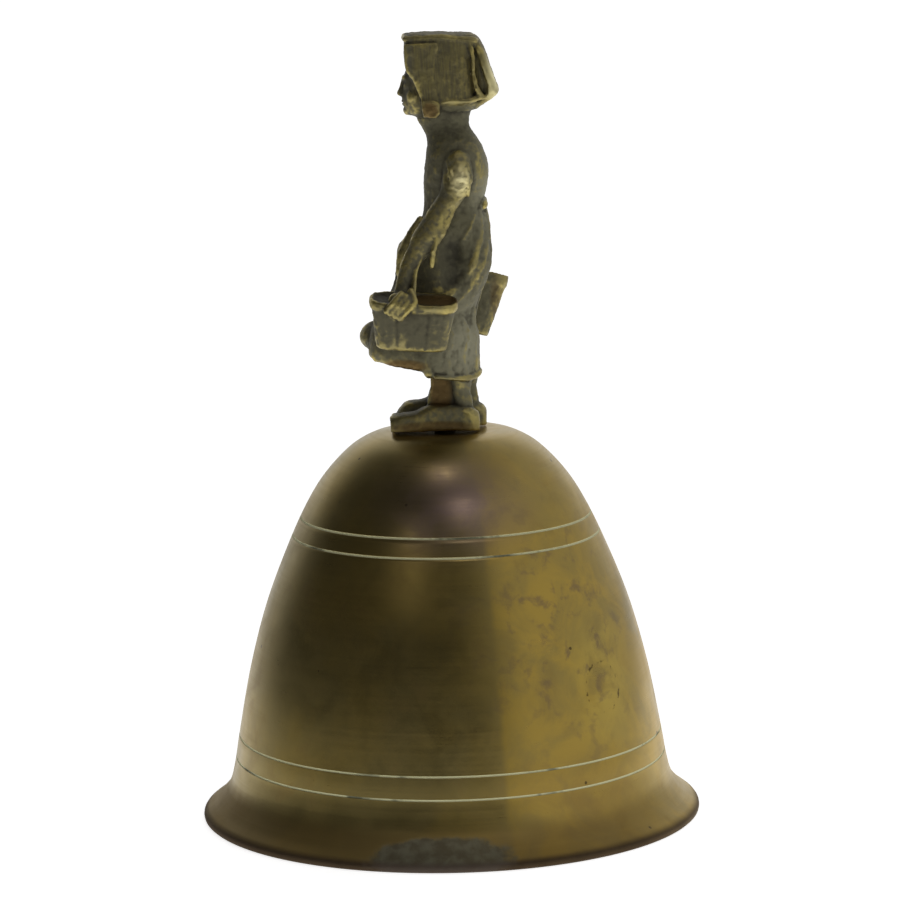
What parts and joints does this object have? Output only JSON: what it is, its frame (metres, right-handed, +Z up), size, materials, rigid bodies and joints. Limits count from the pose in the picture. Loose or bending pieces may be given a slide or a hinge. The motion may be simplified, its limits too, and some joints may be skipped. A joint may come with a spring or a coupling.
{
  "type": "hand bell",
  "caption": "Turned brass hand bell with grooved bands and a flared lip, a cast figure of a bonneted woman carrying pails as its handle, and a loose ball clapper inside.",
  "frame": {"origin": "centre of the bell's mouth, on the plane that the rim stands on", "axes": "+Z up along the bell's axis, towards the figure's head; the figure faces -X"},
  "size_m": [0.07, 0.07, 0.1095],
  "materials": {
    "turned_brass": "turned and aged, satin",
    "cast_brass": "as cast, dark patina with worn edges",
    "iron": "dull drawn wire"
  },
  "bodies": {
    "bell": {"bell_body": "turned_brass", "figure_handle": "cast_brass", "eye_bolt": "iron", "crown_washer": "turned_brass", "clamp_nut": "turned_brass"},
    "link": {"clapper_link": "iron"},
    "clapper": {"clapper_stem": "iron", "clapper_ball": "turned_brass"}
  },
  "joints": [
    {"name": "link_turn", "type": "hinge", "parent": "bell", "child": "link", "pos_m": [0, 0, 0.0438], "axis": [0, 0, 1], "range_deg": [-40, 40]},
    {"name": "clapper_swing", "type": "hinge", "parent": "link", "child": "clapper", "pos_m": [0, 0, 0.0386], "axis": [0, 1, 0], "range_deg": [-43.9, 43.9]}
  ]
}
